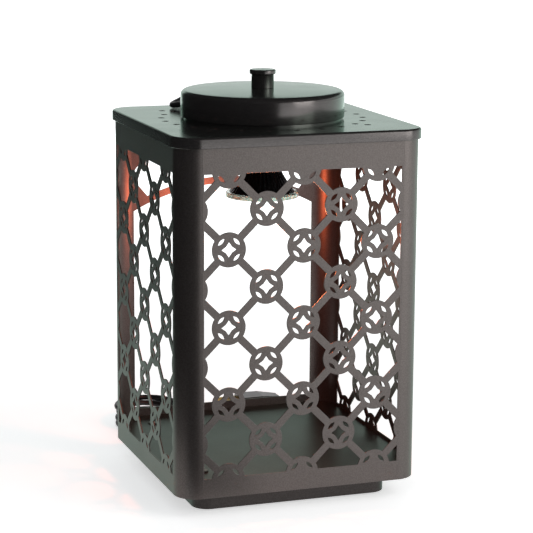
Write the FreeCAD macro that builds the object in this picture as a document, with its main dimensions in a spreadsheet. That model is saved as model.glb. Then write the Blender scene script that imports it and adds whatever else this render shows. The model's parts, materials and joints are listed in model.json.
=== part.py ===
"""Candle warmer lamp: a pierced sheet-metal lantern, a halogen lamp under its dome, and the mains lead."""
import FreeCAD, Part

import math
import os

import Sketcher
from FreeCAD import Rotation, Vector

SIZES = {
    # levels, from the table up
    "pad_height": 1.5,
    "plinth_height": 23.2,
    "skirt_height": 12.7,
    "body_height": 235.3,
    "collar_height": 1.6,
    "dome_height": 17.6,
    "crown_height": 1.0,
    "knob_stem_height": 9.5,
    "knob_head_height": 3.0,
    # sheet-metal body
    "sheet_wall": 0.8,
    "body_width": 167.0,
    "corner_radius": 15.0,
    "plinth_inset": 15.8,
    "plinth_corner": 11.0,
    "cap_overhang": 2.0,
    "cap_rim": 7.1,
    "cap_hole": 84.0,
    "collar_diameter": 106.0,
    "vent_diameter": 4.5,
    "vent_circle": 68.0,
    "corner_vent_circle": 77.0,
    # lattice
    "window_margin": 1.2,
    "window_rise": 13.2,
    "window_head": 22.9,
    "lattice_pitch": 25.4,
    "ring_radius": 11.4,
    "strut_width": 5.0,
    "petal_length": 6.3,
    "petal_width": 2.3,
    "petal_circle": 7.3,
    "star_tip": 5.0,
    # back panel
    "sill_rise": 17.0,
    "opening_margin": 1.3,
    "arch_head": 56.5,
    "arch_radius": 140.0,
    "bar_height": 5.0,
    "fan_margin": 0.5,
    "fan_head": 50.5,
    "fan_rise": 27.0,
    "fan_bevel": 11.0,
    # dome and knob
    "dome_diameter": 110.4,
    "dome_edge": 3.5,
    "crown_land": 1.0,
    "hem_width": 4.4,
    "knob_stem": 15.2,
    "knob_head": 17.7,
    "knob_edge": 0.6,
    "stud_diameter": 4.0,
    "stud_reach": 9.0,
    "washer_diameter": 12.0,
    "washer_height": 0.5,
    # lamp and its holder
    "bridge_width": 18.0,
    "bridge_wall": 1.2,
    "bridge_foot": 7.0,
    "bridge_rise": 11.3,
    "socket_diameter": 30.0,
    "socket_drop": 6.6,
    "socket_screw": 3.0,
    "socket_screw_circle": 10.5,
    "bracket_screw": 4.0,
    "screw_head_height": 1.6,
    "lead_diameter": 2.4,
    "pin_circle": 5.0,
    "pin_diameter": 2.6,
    "pin_head": 5.0,
    "pin_head_height": 2.0,
    "pin_length": 7.7,
    "slot_clearance": 0.3,
    "twist_degrees": 40.0,
    "lamp_gap": 0.3,
    "lamp_flange": 49.7,
    "flange_height": 3.4,
    "lens_wall": 2.0,
    "bowl_height": 15.0,
    "bowl_wall": 1.2,
    "base_height": 28.6,
    "base_entry": 3.2,
    "base_diameter": 22.6,
    "capsule_diameter": 9.0,
    "capsule_length": 10.0,
    # lead, switch and plug
    "cord_diameter": 4.0,
    "exit_angle": 126.0,
    "exit_height": 4.8,
    "relief_length": 14.0,
    "relief_droop": 2.7,
    "relief_diameter": 6.0,
    "relief_tip": 4.6,
    "coil_radius": 22.0,
    "coil_pitch": 4.8,
    "layer_rise": 4.5,
    "layer_turns": 1.4375,
    "switch_length": 56.0,
    "switch_width": 26.0,
    "switch_height": 16.0,
    "wheel_diameter": 30.0,
    "wheel_width": 6.0,
    "wheel_clearance": 0.5,
    "axle_diameter": 3.0,
    "axle_clearance": 0.05,
    "plug_length": 32.0,
    "plug_width": 22.0,
    "plug_height": 12.0,
    "blade_length": 17.0,
    "blade_width": 6.35,
    "wide_blade": 7.9,
    "blade_wall": 1.5,
    "blade_spacing": 12.7,
}


class Size:
    """A length that keeps the sheet expression it comes from beside its value."""

    def __init__(self, value, text):
        self.value = value
        self.text = text

    def __float__(self):
        return float(self.value)

    def __add__(self, other):
        return combine(self, "+", other)

    def __radd__(self, other):
        return combine(other, "+", self)

    def __sub__(self, other):
        return combine(self, "-", other)

    def __rsub__(self, other):
        return combine(other, "-", self)

    def __mul__(self, other):
        return combine(self, "*", other)

    def __rmul__(self, other):
        return combine(other, "*", self)

    def __truediv__(self, other):
        return combine(self, "/", other)

    def __neg__(self):
        return combine(0, "-", self)


def text_of(item):
    return item.text if isinstance(item, Size) else repr(float(item))


def combine(first, sign, second):
    a, b = float(first), float(second)
    value = {"+": a + b, "-": a - b, "*": a * b}[sign] if sign != "/" else a / b
    return Size(value, f"({text_of(first)} {sign} {text_of(second)})")


doc = FreeCAD.newDocument("candle_warmer_lamp")
sheet = doc.addObject("Spreadsheet::Sheet", "Sizes")
for row, (word, number) in enumerate(SIZES.items(), 1):
    sheet.set(f"A{row}", word)
    sheet.set(f"B{row}", str(number))
    sheet.setAlias(f"B{row}", word)
doc.recompute()

NODES = {}


def size(word):
    return Size(float(getattr(sheet, word)), f"Sizes.{word}")


def bind(thing, **props):
    """Set each property to a number, or tie it to the sheet."""
    for prop, item in props.items():
        prop = prop.replace("__", ".")
        if isinstance(item, Size):
            thing.setExpression(prop, item.text)
        else:
            thing.setExpression(prop, repr(float(item)))
    return thing


def solid(kind, name, at=(0, 0, 0), turn=None, **props):
    """A Part primitive whose sizes and place are tied to the sheet."""
    thing = doc.addObject(f"Part::{kind}", name)
    if turn is not None:
        thing.Placement = FreeCAD.Placement(Vector(), turn)
    bind(thing, **props)
    bind(thing, Placement__Base__x=at[0], Placement__Base__y=at[1], Placement__Base__z=at[2])
    return thing


def cut(name, base, tool):
    thing = doc.addObject("Part::Cut", name)
    thing.Base = base
    thing.Tool = tool
    return thing


def fuse(name, *items):
    thing = doc.addObject("Part::MultiFuse", name)
    thing.Shapes = list(items)
    thing.Refine = True
    return thing


def group(name, *items):
    """Separate solids kept together as one sub-part."""
    thing = doc.addObject("Part::Compound", name)
    thing.Links = list(items)
    return thing


def node(name, thing):
    thing.Label = name
    NODES[name] = thing
    return thing


def feature(name, shape):
    thing = doc.addObject("Part::Feature", f"{name}_form")
    thing.Shape = shape
    thing.Placement = FreeCAD.Placement()
    return node(name, thing)


def origin_plane(body, role):
    return next(item for item in body.Origin.OriginFeatures if item.Role == role)


def profile_sketch(body, name, points, role):
    """A closed outline whose corners are tied to the sheet; corners on an axis are held on it."""
    sketch = body.newObject("Sketcher::SketchObject", name)
    sketch.AttachmentSupport = [(origin_plane(body, role), "")]
    sketch.MapMode = "FlatFace"
    places = [Vector(float(a), float(b), 0) for a, b in points]
    for start, end in zip(places, places[1:] + places[:1]):
        sketch.addGeometry(Part.LineSegment(start, end), False)
    for index in range(len(places)):
        before = index - 1 if index else len(places) - 1
        sketch.addConstraint(Sketcher.Constraint("Coincident", before, 2, index, 1))
    for index, corner in enumerate(points):
        for kind, item, axis in (("DistanceX", corner[0], -2), ("DistanceY", corner[1], -1)):
            if abs(float(item)) < 1e-9:
                sketch.addConstraint(Sketcher.Constraint("PointOnObject", index, 1, axis))
                continue
            label = f"corner{index}{kind[-1].lower()}"
            number = sketch.addConstraint(Sketcher.Constraint(kind, -1, 1, index, 1, float(item)))
            sketch.renameConstraint(number, label)
            if isinstance(item, Size):
                sketch.setExpression(f"Constraints.{label}", item.text)
    return sketch


def turned(name, points):
    """A body turned about the Z axis from its half section of (radius, height) corners."""
    body = doc.addObject("PartDesign::Body", f"{name}_body")
    sketch = profile_sketch(body, f"{name}_section", points, "XZ_Plane")
    turning = body.newObject("PartDesign::Revolution", f"{name}_turning")
    turning.Profile = sketch
    turning.ReferenceAxis = (sketch, ["V_Axis"])
    turning.Angle = 360
    body.Tip = turning
    doc.recompute()
    return body


def rounded(body, name, radius, picks):
    """Round the edges of the body's tip for which picks is true."""
    tip = body.Tip
    names = [f"Edge{number}" for number, edge in enumerate(tip.Shape.Edges, 1) if picks(edge)]
    rounding = body.newObject("PartDesign::Fillet", name)
    rounding.Base = (tip, names)
    bind(rounding, Radius=radius)
    body.Tip = rounding
    doc.recompute()
    return body


def raised(body, sketch, height):
    """Lift a sketch on its origin plane to a height tied to the sheet."""
    bind(sketch, AttachmentOffset__Base__z=height)
    return sketch


def square(width):
    half = width / 2
    return [(-half, -half), (half, -half), (half, half), (-half, half)]


def polygon(centre, radius, sides):
    """Corners of a regular polygon with a flat side facing along +X."""
    step = 2 * math.pi / sides
    return [
        (centre + radius * math.cos((index + 0.5) * step), radius * math.sin((index + 0.5) * step))
        for index in range(sides)
    ]


def pad(body, name, points, bottom, height):
    sketch = raised(body, profile_sketch(body, f"{name}_outline", points, "XY_Plane"), bottom)
    form = body.newObject("PartDesign::Pad", name)
    form.Profile = sketch
    bind(form, Length=height)
    body.Tip = form
    doc.recompute()
    return form


def pocket(body, name, points, top, depth):
    """Cut downwards from a level; an outline that misses the solid is an error."""
    before = body.Shape.Volume
    sketch = raised(body, profile_sketch(body, f"{name}_outline", points, "XY_Plane"), top)
    form = body.newObject("PartDesign::Pocket", name)
    form.Profile = sketch
    bind(form, Length=depth)
    body.Tip = form
    doc.recompute()
    if body.Shape.Volume >= before:
        raise ValueError(f"{name} cuts nothing")
    return form


def polar(body, name, form, count):
    pattern = body.newObject("PartDesign::PolarPattern", name)
    pattern.Originals = [form]
    pattern.Axis = (form.Profile[0], ["N_Axis"])
    pattern.Angle = 360
    pattern.Occurrences = count
    body.Tip = pattern
    doc.recompute()
    return pattern


def is_upright(edge, half):
    """A vertical edge at the corner of a square of this half width."""
    first, last = edge.Vertexes[0].Point, edge.Vertexes[-1].Point
    upright = math.hypot(first.x - last.x, first.y - last.y) < 1e-6
    return upright and all(abs(abs(place) - float(half)) < 1e-4 for place in (first.x, first.y))


def pan(body, name, outer, radius, bottom, height, hollow_top, hollow_depth):
    """A square box of sheet with rounded corners, hollowed between two levels."""
    inner = outer - 2 * wall
    pad(body, f"{name}_block", square(outer), bottom, height)
    pocket(body, f"{name}_hollow", square(inner), hollow_top, hollow_depth)
    rounded(body, f"{name}_inner_corners", radius - wall, lambda edge: is_upright(edge, inner / 2))
    rounded(body, f"{name}_corners", radius, lambda edge: is_upright(edge, outer / 2))


wall = size("sheet_wall")
width = size("body_width")
corner = size("corner_radius")
pad_top = size("pad_height")
plate_under = pad_top + size("plinth_height")
plate_top = plate_under + wall
body_bottom = pad_top + size("skirt_height")
cap_under = body_bottom + size("body_height")
cap_top = cap_under + wall
dome_seat = cap_top + size("collar_height")
dome_edge_top = dome_seat + size("dome_height")
crown_top = dome_edge_top + size("crown_height")
stem_top = crown_top + size("knob_stem_height")
knob_top = stem_top + size("knob_head_height")
flat_half = width / 2 - corner
window_half = flat_half - size("window_margin")
window_height = size("body_height") - size("window_rise") - size("window_head")
window_middle = body_bottom + size("window_rise") + window_height / 2
plinth_width = width - 2 * size("plinth_inset")
cap_width = width + 2 * size("cap_overhang")
cap_corner = corner + size("cap_overhang")

# Sheet-metal faces of the lantern body. Each is drawn flat, seen from outside, and then stood up.

RING_SIDES = 16
VENT_SIDES = 8
VENT_COUNT = 24
COLLAR_SIDES = 48
MOUTH_SIDES = 32
AXLE_SIDES = 16
RING_OVERHANG = 3.0


def flat_wire(points):
    corners = [Vector(float(a), float(b), 0) for a, b in points]
    return Part.makePolygon(corners + corners[:1])


def flat_ring(centre, radius, sides):
    return Part.Face(flat_wire([(centre.x + a, centre.y + b) for a, b in polygon(0, radius, sides)]))


def reach_in_pitches(half):
    """How many pitches from the middle a ring still shows in a window of this half size."""
    return int((float(half) + RING_OVERHANG) / float(size("lattice_pitch")))


def ring_centres():
    """Crossings of the diagonal lattice, as (column, row) counted from the middle."""
    columns, rows = reach_in_pitches(window_half), reach_in_pitches(window_height / 2)
    for column in range(-columns, columns + 1):
        for row in range(-rows, rows + 1):
            if (column + row) % 2 == 0:
                yield column, row


def diamond(centre, along, long_half, short_half):
    """A four-cornered hole with its long axis at the angle along."""
    ahead = Vector(math.cos(along), math.sin(along), 0)
    aside = Vector(-ahead.y, ahead.x, 0)
    tips = [centre + ahead * long_half, centre + aside * short_half]
    tips += [centre - ahead * long_half, centre - aside * short_half]
    return flat_wire([(tip.x, tip.y) for tip in tips])


def lattice_holes():
    """Wires of all holes in one lattice window: the cells, and the petals and star of each ring."""
    pitch, reach = float(size("lattice_pitch")), float(size("strut_width")) / 2
    half_wide, half_high = float(window_half), float(window_height) / 2
    window = Part.Face(flat_wire(
        [(-half_wide, -half_high), (half_wide, -half_high), (half_wide, half_high), (-half_wide, half_high)]
    ))
    half_length, half_petal = float(size("petal_length")) / 2, float(size("petal_width")) / 2
    tip = float(size("star_tip"))
    metal = []
    wires = []
    far = half_wide + half_high
    lines = 2 * int(far / pitch / 2) + 2
    for lean in (1, -1):
        for line in range(-lines, lines + 1, 2):
            foot = Vector(0, line * pitch, 0)
            ahead = Vector(1, lean, 0).normalize() * far * 1.5
            aside = Vector(-lean, 1, 0).normalize() * reach
            ends = [foot - ahead - aside, foot + ahead - aside, foot + ahead + aside, foot - ahead + aside]
            metal.append(Part.Face(flat_wire([(end.x, end.y) for end in ends])))
    for column, row in ring_centres():
        centre = Vector(column * pitch, row * pitch, 0)
        metal.append(flat_ring(centre, float(size("ring_radius")), RING_SIDES))
        for quarter in range(4):
            angle = math.pi / 4 + quarter * math.pi / 2
            petal = centre + Vector(math.cos(angle), math.sin(angle), 0) * float(size("petal_circle"))
            if abs(petal.y) < half_high and abs(petal.x) + half_length < float(flat_half):
                wires.append(diamond(petal, angle + math.pi / 2, half_length, half_petal))
        if abs(centre.y) < half_high and abs(centre.x) + tip < float(flat_half):
            wires.append(diamond(centre, 0, tip, tip))
    cells = window.cut(metal)
    return wires + [face.OuterWire for face in cells.Faces]


def standing_plate(holes):
    """The flat part of one side between its rounded corners, outer face at z = 0."""
    flat = float(flat_half)
    low, high = float(body_bottom), float(cap_under)
    outline = flat_wire([(-flat, low), (flat, low), (flat, high), (-flat, high)])
    face = Part.makeFace([outline] + holes, "Part::FaceMakerBullseye")
    return face.extrude(Vector(0, 0, -float(wall)))


def corner_strip(side):
    """A quarter-round corner beside the flat plate; side is 1 or -1."""
    middle = Vector(side * (float(width) / 2 - float(corner)), float(body_bottom), -float(corner))
    outer, inner = float(corner), float(corner) - float(wall)
    directions = [Vector(side * math.sin(turn), 0, math.cos(turn)) for turn in (0, math.pi / 4, math.pi / 2)]
    arcs = [
        Part.Arc(*[middle + way * radius for way in directions]).toShape() for radius in (outer, inner)
    ]
    ends = [
        Part.makeLine(middle + way * outer, middle + way * inner) for way in (directions[0], directions[2])
    ]
    face = Part.Face(Part.Wire(Part.__sortEdges__(arcs + ends)))
    return face.extrude(Vector(0, float(size("body_height")), 0))


def stand_up(thing, turn, distance):
    """Stand a flat sheet on edge, facing outwards at the given turn about the Z axis from the front."""
    facing = Rotation(Vector(0, 0, 1), turn)
    outwards = facing.multVec(Vector(0, -float(distance), 0))
    thing.Placement = FreeCAD.Placement(outwards, facing * Rotation(Vector(1, 0, 0), 90))
    return thing


def joined(*shapes):
    return shapes[0].fuse(list(shapes[1:])).removeSplitter()


def make_lattice_sides():
    lift = Vector(0, float(window_middle), 0)
    holes = [wire.translated(lift) for wire in lattice_holes()]
    plate = standing_plate(holes)
    front = joined(plate, corner_strip(1), corner_strip(-1))
    stand_up(feature("front_panel", front), 0, width / 2)
    stand_up(feature("left_panel", plate), -90, width / 2)
    stand_up(feature("right_panel", plate), 90, width / 2)


def make_back_panel():
    """Frame with a tall arched opening, a curved bar above it and a smaller fan-shaped opening."""
    half = float(flat_half - size("opening_margin"))
    sill = float(body_bottom + size("sill_rise"))
    radius = float(size("arch_radius"))
    middle = float(cap_under - size("arch_head")) - radius
    spring = middle + math.sqrt(radius ** 2 - half ** 2)
    arch = Part.Arc(Vector(half, spring, 0), Vector(0, middle + radius, 0), Vector(-half, spring, 0))
    posts = Part.makePolygon(
        [Vector(-half, spring, 0), Vector(-half, sill, 0), Vector(half, sill, 0), Vector(half, spring, 0)]
    )
    opening = Part.Wire(Part.__sortEdges__([arch.toShape()] + posts.Edges))

    upper = radius + float(size("bar_height"))
    fan = float(flat_half - size("fan_margin"))
    shoulder = float(cap_under - size("fan_head"))
    foot = fan - float(size("fan_bevel"))
    foot_level = middle + math.sqrt(upper ** 2 - foot ** 2)
    points = [Vector(foot, foot_level, 0), Vector(0, middle + upper, 0), Vector(-foot, foot_level, 0)]
    oval = Part.Ellipse(Vector(0, shoulder, 0), fan, float(size("fan_rise")))
    edges = [
        Part.Arc(*points).toShape(),
        Part.makeLine(points[0], Vector(fan, shoulder, 0)),
        Part.ArcOfEllipse(oval, 0, math.pi).toShape(),
        Part.makeLine(Vector(-fan, shoulder, 0), points[2]),
    ]
    fan_opening = Part.Wire(Part.__sortEdges__(edges))
    back = joined(standing_plate([opening, fan_opening]), corner_strip(1), corner_strip(-1))
    stand_up(feature("back_panel", back), 180, width / 2)


def foot_place():
    """Distance of the bracket's foot screws from the axis."""
    thick = size("bridge_wall")
    return size("cap_hole") / 2 + thick + (size("bridge_foot") - thick) / 2


def make_top_cap():
    """Square pan with a turned-down rim, a raised collar for the dome and round vents."""
    outer = cap_width
    rim = size("cap_rim")
    body = doc.addObject("PartDesign::Body", "top_cap_body")
    pan(body, "cap", outer, cap_corner, cap_top - rim, rim, cap_under, rim - wall)
    pad(body, "cap_collar", polygon(0, size("collar_diameter") / 2, COLLAR_SIDES), cap_top - wall / 2,
        wall / 2 + size("collar_height"))
    mouth = polygon(0, size("cap_hole") / 2, MOUTH_SIDES)
    pocket(body, "cap_hole_cut", mouth, dome_seat, wall + size("collar_height"))
    for side in (-1, 1):
        points = [(side * foot_place() + a, b) for a, b in polygon(0, size("bracket_screw") / 2, VENT_SIDES)]
        pocket(body, f"collar_screw_hole_{side + 1}", points, dome_seat, wall + size("collar_height"))
    vent = size("vent_diameter") / 2
    ring = pocket(body, "vent_cut", polygon(size("vent_circle"), vent, VENT_SIDES), cap_top, wall)
    polar(body, "vent_ring", ring, VENT_COUNT)
    for across in (1, -1):
        for along in (1, -1):
            share = size("corner_vent_circle") * math.sqrt(0.5)
            points = [(across * share + a, along * share + b) for a, b in polygon(0, vent, VENT_SIDES)]
            pocket(body, f"corner_vent_{across + 1}{along + 1}", points, cap_top, wall)
    node("top_cap", body)


def rivet_places():
    for across in (1, -1):
        for along in (1, -1):
            yield across, along


RIVET_INSET = 7.2
RIVET_RADIUS = 1.6
RIVET_HEAD_RADIUS = 3.0
RIVET_HEAD = 1.0
FLANGE_DROP = 8.0
FLANGE_IN = 14.0
PAD_RADIUS = 6.0
PAD_INSET = 15.7


def make_floor_plate():
    """Tray of sheet with flanges turned down inside the body."""
    body = doc.addObject("PartDesign::Body", "floor_plate_body")
    pan(body, "plate", width - 2 * wall, corner - wall, plate_top - FLANGE_DROP, FLANGE_DROP,
        plate_under, FLANGE_DROP - wall)
    add_rivet_holes(body, "plate", plate_top, wall)
    node("floor_plate", body)


def add_rivet_holes(body, name, top, depth):
    place = plinth_width / 2 - RIVET_INSET
    for number, (across, along) in enumerate(rivet_places()):
        points = [(across * place + a, along * place + b) for a, b in polygon(0, RIVET_RADIUS, VENT_SIDES)]
        pocket(body, f"{name}_rivet_hole_{number}", points, top, depth)


def make_base_plinth():
    """Inset square foot: a closed pan whose top edge turns inwards under the floor plate."""
    outer = plinth_width
    height = size("plinth_height")
    body = doc.addObject("PartDesign::Body", "base_plinth_body")
    pan(body, "plinth", outer, size("plinth_corner"), pad_top, height, plate_under - wall, height - 2 * wall)
    pocket(body, "plinth_mouth", square(outer - 2 * FLANGE_IN), plate_under, wall)
    add_rivet_holes(body, "plinth", plate_under, wall)
    node("base_plinth", body)


def prism(name, points, bottom, height):
    body = doc.addObject("PartDesign::Body", f"{name}_body")
    pad(body, f"{name}_block", points, bottom, height)
    return body


def make_rivets_and_pads():
    rivet_place = plinth_width / 2 - RIVET_INSET
    pad_place = plinth_width / 2 - PAD_INSET
    rivets, pads = [], []
    for number, (across, along) in enumerate(rivet_places()):
        parts = []
        levels = ((plate_top, RIVET_HEAD, RIVET_HEAD_RADIUS), (plate_under - wall, 2 * wall, RIVET_RADIUS),
                  (plate_under - wall - RIVET_HEAD, RIVET_HEAD, RIVET_HEAD_RADIUS))
        for level, (bottom, height, radius) in enumerate(levels):
            points = [(across * rivet_place + a, along * rivet_place + b)
                      for a, b in polygon(0, radius, VENT_SIDES)]
            parts.append(prism(f"rivet_{number}_{level}", points, bottom, height))
        rivets.append(fuse(f"rivet_{number}", *parts))
        pads.append(solid("Cylinder", f"pad_{number}", Radius=PAD_RADIUS, Height=pad_top,
                          at=(across * pad_place, along * pad_place, 0)))
    node("base_rivets", group("base_rivets_group", *rivets))
    node("base_pads", group("base_pads_group", *pads))


# Dome, knob and lamp holder

ROUND_SHARE = 1 - math.sqrt(0.5)


def make_dome():
    """Round cover with a softly rounded top edge, a slight crown and a hem turned in at the foot."""
    outer = size("dome_diameter") / 2
    hem = outer - size("hem_width")
    stud = size("stud_diameter") / 2
    edge = size("dome_edge")
    land = size("knob_stem") / 2 + size("crown_land")
    shaved = edge * ROUND_SHARE
    shaved_inside = wall + (edge - wall) * ROUND_SHARE
    points = [
        (hem, dome_seat), (outer, dome_seat),
        (outer, dome_edge_top - edge),
        (outer - shaved, dome_edge_top - shaved),
        (outer - edge, dome_edge_top),
        (land, crown_top), (stud, crown_top), (stud, crown_top - wall), (land, crown_top - wall),
        (outer - edge, dome_edge_top - wall),
        (outer - shaved_inside, dome_edge_top - shaved_inside),
        (outer - wall, dome_edge_top - edge),
        (outer - wall, dome_seat + wall), (hem, dome_seat + wall),
    ]
    node("dome_cover", open_dome(turned("dome_cover", points)))


def make_knob():
    """Turned knob on a stud that also draws the dome down."""
    stem, head = size("knob_stem") / 2, size("knob_head") / 2
    stud = size("stud_diameter") / 2
    edge = size("knob_edge")
    stud_end = crown_top + size("stud_reach")
    points = [
        (stud, crown_top), (stem, crown_top), (stem, stem_top), (head - edge, stem_top),
        (head, stem_top + edge), (head, knob_top - edge), (head - edge, knob_top),
        (0, knob_top), (0, stud_end), (stud, stud_end),
    ]
    node("knob", turned("knob", points))
    bridge_top = dome_seat + size("bridge_rise")
    node("knob_stud", solid("Cylinder", "knob_stud_rod", Radius=stud, Height=stud_end - bridge_top,
                            at=(0, 0, bridge_top)))
    washer_top = crown_top - wall
    washer = size("washer_height")
    node("knob_washer", turned("knob_washer", [
        (stud, washer_top - washer), (size("washer_diameter") / 2, washer_top - washer),
        (size("washer_diameter") / 2, washer_top), (stud, washer_top),
    ]))


def make_bridge():
    """Bent strip that stands on the cap's collar and carries the lamp socket."""
    thick = size("bridge_wall")
    rise = size("bridge_rise")
    inner = size("cap_hole") / 2
    foot_end = inner + size("bridge_foot")
    half = size("bridge_width") / 2
    body = doc.addObject("PartDesign::Body", "socket_bracket_body")
    points = [
        (-foot_end, dome_seat), (-inner, dome_seat), (-inner, dome_seat + rise - thick),
        (inner, dome_seat + rise - thick), (inner, dome_seat), (foot_end, dome_seat),
        (foot_end, dome_seat + thick), (inner + thick, dome_seat + thick),
        (inner + thick, dome_seat + rise), (-inner - thick, dome_seat + rise),
        (-inner - thick, dome_seat + thick), (-foot_end, dome_seat + thick),
    ]
    sketch = profile_sketch(body, "bracket_profile", points, "XZ_Plane")
    form = body.newObject("PartDesign::Pad", "bracket_strip")
    form.Profile = sketch
    form.Midplane = True
    bind(form, Length=2 * half)
    body.Tip = form
    doc.recompute()
    hole = size("bracket_screw") / 2
    place = foot_place()
    for name, at, radius in (("left", -place, hole), ("right", place, hole),
                             ("near", -size("socket_screw_circle"), size("socket_screw") / 2),
                             ("far", size("socket_screw_circle"), size("socket_screw") / 2)):
        points = [(at + a, b) for a, b in polygon(0, radius, VENT_SIDES)]
        top = dome_seat + (rise if name in ("near", "far") else thick)
        pocket(body, f"bracket_hole_{name}", points, top, thick)
    node("socket_bracket", body)


HEAD_SPARE = 0.6
HEAD_SHARE = 1.8
SOCKET_SCREW_BITE = 6.0


def screw(name, at, top, shank, shank_length, head, head_height):
    """A round-headed screw standing with its head's underside at the given level."""
    rod = [(at[0] + a, at[1] + b) for a, b in polygon(0, shank / 2, VENT_SIDES)]
    cap = [(at[0] + a, at[1] + b) for a, b in polygon(0, head / 2, VENT_SIDES)]
    return fuse(name, prism(f"{name}_shank", rod, top - shank_length, shank_length),
                prism(f"{name}_head", cap, top, head_height))


def make_holder_screws():
    thick, rise = size("bridge_wall"), size("bridge_rise")
    head_height = size("screw_head_height")
    through = thick + size("collar_height") + wall
    feet = [screw(f"bracket_screw_{number}", (side * foot_place(), 0), dome_seat + thick,
                  size("bracket_screw"), through, size("bridge_foot") - thick - HEAD_SPARE, head_height)
            for number, side in enumerate((-1, 1))]
    node("bracket_screws", group("bracket_screws_group", *feet))
    clamp = size("socket_screw")
    clamps = [screw(f"socket_screw_{number}", (side * size("socket_screw_circle"), 0), dome_seat + rise,
                    clamp, thick + SOCKET_SCREW_BITE, clamp * HEAD_SHARE, head_height)
              for number, side in enumerate((-1, 1))]
    node("socket_screws", group("socket_screws_group", *clamps))


bridge_under = dome_seat + size("bridge_rise") - size("bridge_wall")
socket_bottom = dome_seat - size("socket_drop") - size("bridge_wall")
base_top = socket_bottom - size("lamp_gap")
bowl_top = base_top - size("base_height")
base_bottom = bowl_top - size("base_entry")
flange_top = bowl_top - size("bowl_height")
lamp_mouth = flange_top - size("flange_height")
pin_top = base_top + size("pin_length")
pin_head_under = pin_top - size("pin_head_height")
lip_top = pin_head_under - size("lamp_gap")


def around(radius, angle, height=0.0):
    return Vector(radius * math.cos(angle), radius * math.sin(angle), height)


def kidney(radius, half_width, start, turn, height):
    """A curved slot with round ends, following a circle about the axis."""
    middle, stop = start + turn / 2, start + turn
    outer = Part.Arc(*[around(radius + half_width, angle, height) for angle in (start, middle, stop)])
    inner = Part.Arc(*[around(radius - half_width, angle, height) for angle in (stop, middle, start)])
    last = around(radius, stop, height) + around(half_width, stop + math.pi / 2)
    first = around(radius, start, height) + around(half_width, start - math.pi / 2)
    near, far = radius - half_width, radius + half_width
    caps = [
        Part.Arc(around(far, stop, height), last, around(near, stop, height)),
        Part.Arc(around(near, start, height), first, around(far, start, height)),
    ]
    return Part.Face(Part.Wire([item.toShape() for item in (outer, caps[0], inner, caps[1])]))


def make_socket():
    """Ceramic lamp holder with two bayonet slots, open at the end where the pin heads go in."""
    body = Part.makeCylinder(float(size("socket_diameter")) / 2, float(bridge_under - socket_bottom),
                             Vector(0, 0, float(socket_bottom)))
    radius = float(size("pin_circle"))
    spare = float(size("slot_clearance"))
    narrow, wide = float(size("pin_diameter")) / 2 + spare, float(size("pin_head")) / 2 + spare
    turn = math.radians(float(size("twist_degrees")))
    low, lip = float(socket_bottom), float(lip_top)
    roof = float(pin_top) + spare
    for start in (0.0, math.pi):
        body = body.cut(kidney(radius, narrow, start, turn, low).extrude(Vector(0, 0, lip - low)))
        body = body.cut(kidney(radius, wide, start, turn, lip).extrude(Vector(0, 0, roof - lip)))
        entry = Part.makeCylinder(wide, lip - low, around(radius, start + turn, low))
        body = body.cut(entry)
    bite = SOCKET_SCREW_BITE
    for side in (-1, 1):
        place = Vector(side * float(size("socket_screw_circle")), 0, float(bridge_under) - bite)
        hole = [(place.x + a, place.y + b)
                for a, b in polygon(0, float(size("socket_screw")) / 2, VENT_SIDES)]
        rod = Part.Face(flat_wire(hole)).extrude(Vector(0, 0, bite))
        body = body.cut(rod.translated(Vector(0, 0, place.z)))
    feature("lamp_socket", body)


# Shares of the way inward and up along the reflector's bowl, and of the capsule's round end
BOWL_STEPS = ((0.08, 0.12), (0.5, 0.6), (1.0, 1.0))
TIP_SHARE = 0.55
TIP_RISE = 0.25
BASE_EDGE = 1.0


def make_lamp():
    """Reflector lamp with a bayonet base, pointing down."""
    rim = size("lamp_flange") / 2
    skin = size("bowl_wall")
    neck = size("base_diameter") / 2
    reach = rim - neck - skin
    rise = size("bowl_height")
    outer = [(rim - reach * inward, flange_top + rise * up) for inward, up in BOWL_STEPS]
    inner = [(radius - skin, level) for radius, level in reversed(outer)]
    points = [(rim, lamp_mouth), (rim, flange_top)] + outer + inner
    points += [(rim - skin, flange_top), (rim - skin, lamp_mouth)]
    node("lamp_reflector", turned("lamp_reflector", points))
    lens_bottom = lamp_mouth + size("lamp_gap")
    node("lamp_lens", turned("lamp_lens", [
        (0, lens_bottom), (rim - skin, lens_bottom), (rim - skin, lens_bottom + size("lens_wall")),
        (0, lens_bottom + size("lens_wall")),
    ]))
    node("lamp_base", turned("lamp_base", [
        (0, base_bottom), (neck, base_bottom), (neck, base_top - BASE_EDGE), (neck - BASE_EDGE, base_top),
        (0, base_top),
    ]))
    glass = size("capsule_diameter") / 2
    low = base_bottom - size("capsule_length")
    node("lamp_capsule", turned("lamp_capsule", [
        (0, low), (glass * TIP_SHARE, low + glass * TIP_RISE), (glass, low + glass), (glass, base_bottom),
        (0, base_bottom),
    ]))
    pins = []
    for number, side in enumerate((1, -1)):
        place = (side * size("pin_circle"), 0)
        stem = solid("Cylinder", f"pin_stem_{number}", Radius=size("pin_diameter") / 2,
                     Height=size("pin_length"), at=(place[0], place[1], base_top))
        head = solid("Cylinder", f"pin_head_{number}", Radius=size("pin_head") / 2,
                     Height=size("pin_head_height"), at=(place[0], place[1], pin_head_under))
        pins.append(fuse(f"pin_{number}", stem, head))
    node("lamp_pins", group("lamp_pins_group", *pins))


# Lead: a faceted tube on straight runs and tangent arcs

CORD_SIDES = 6
ARC_SHARE = 0.45


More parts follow.
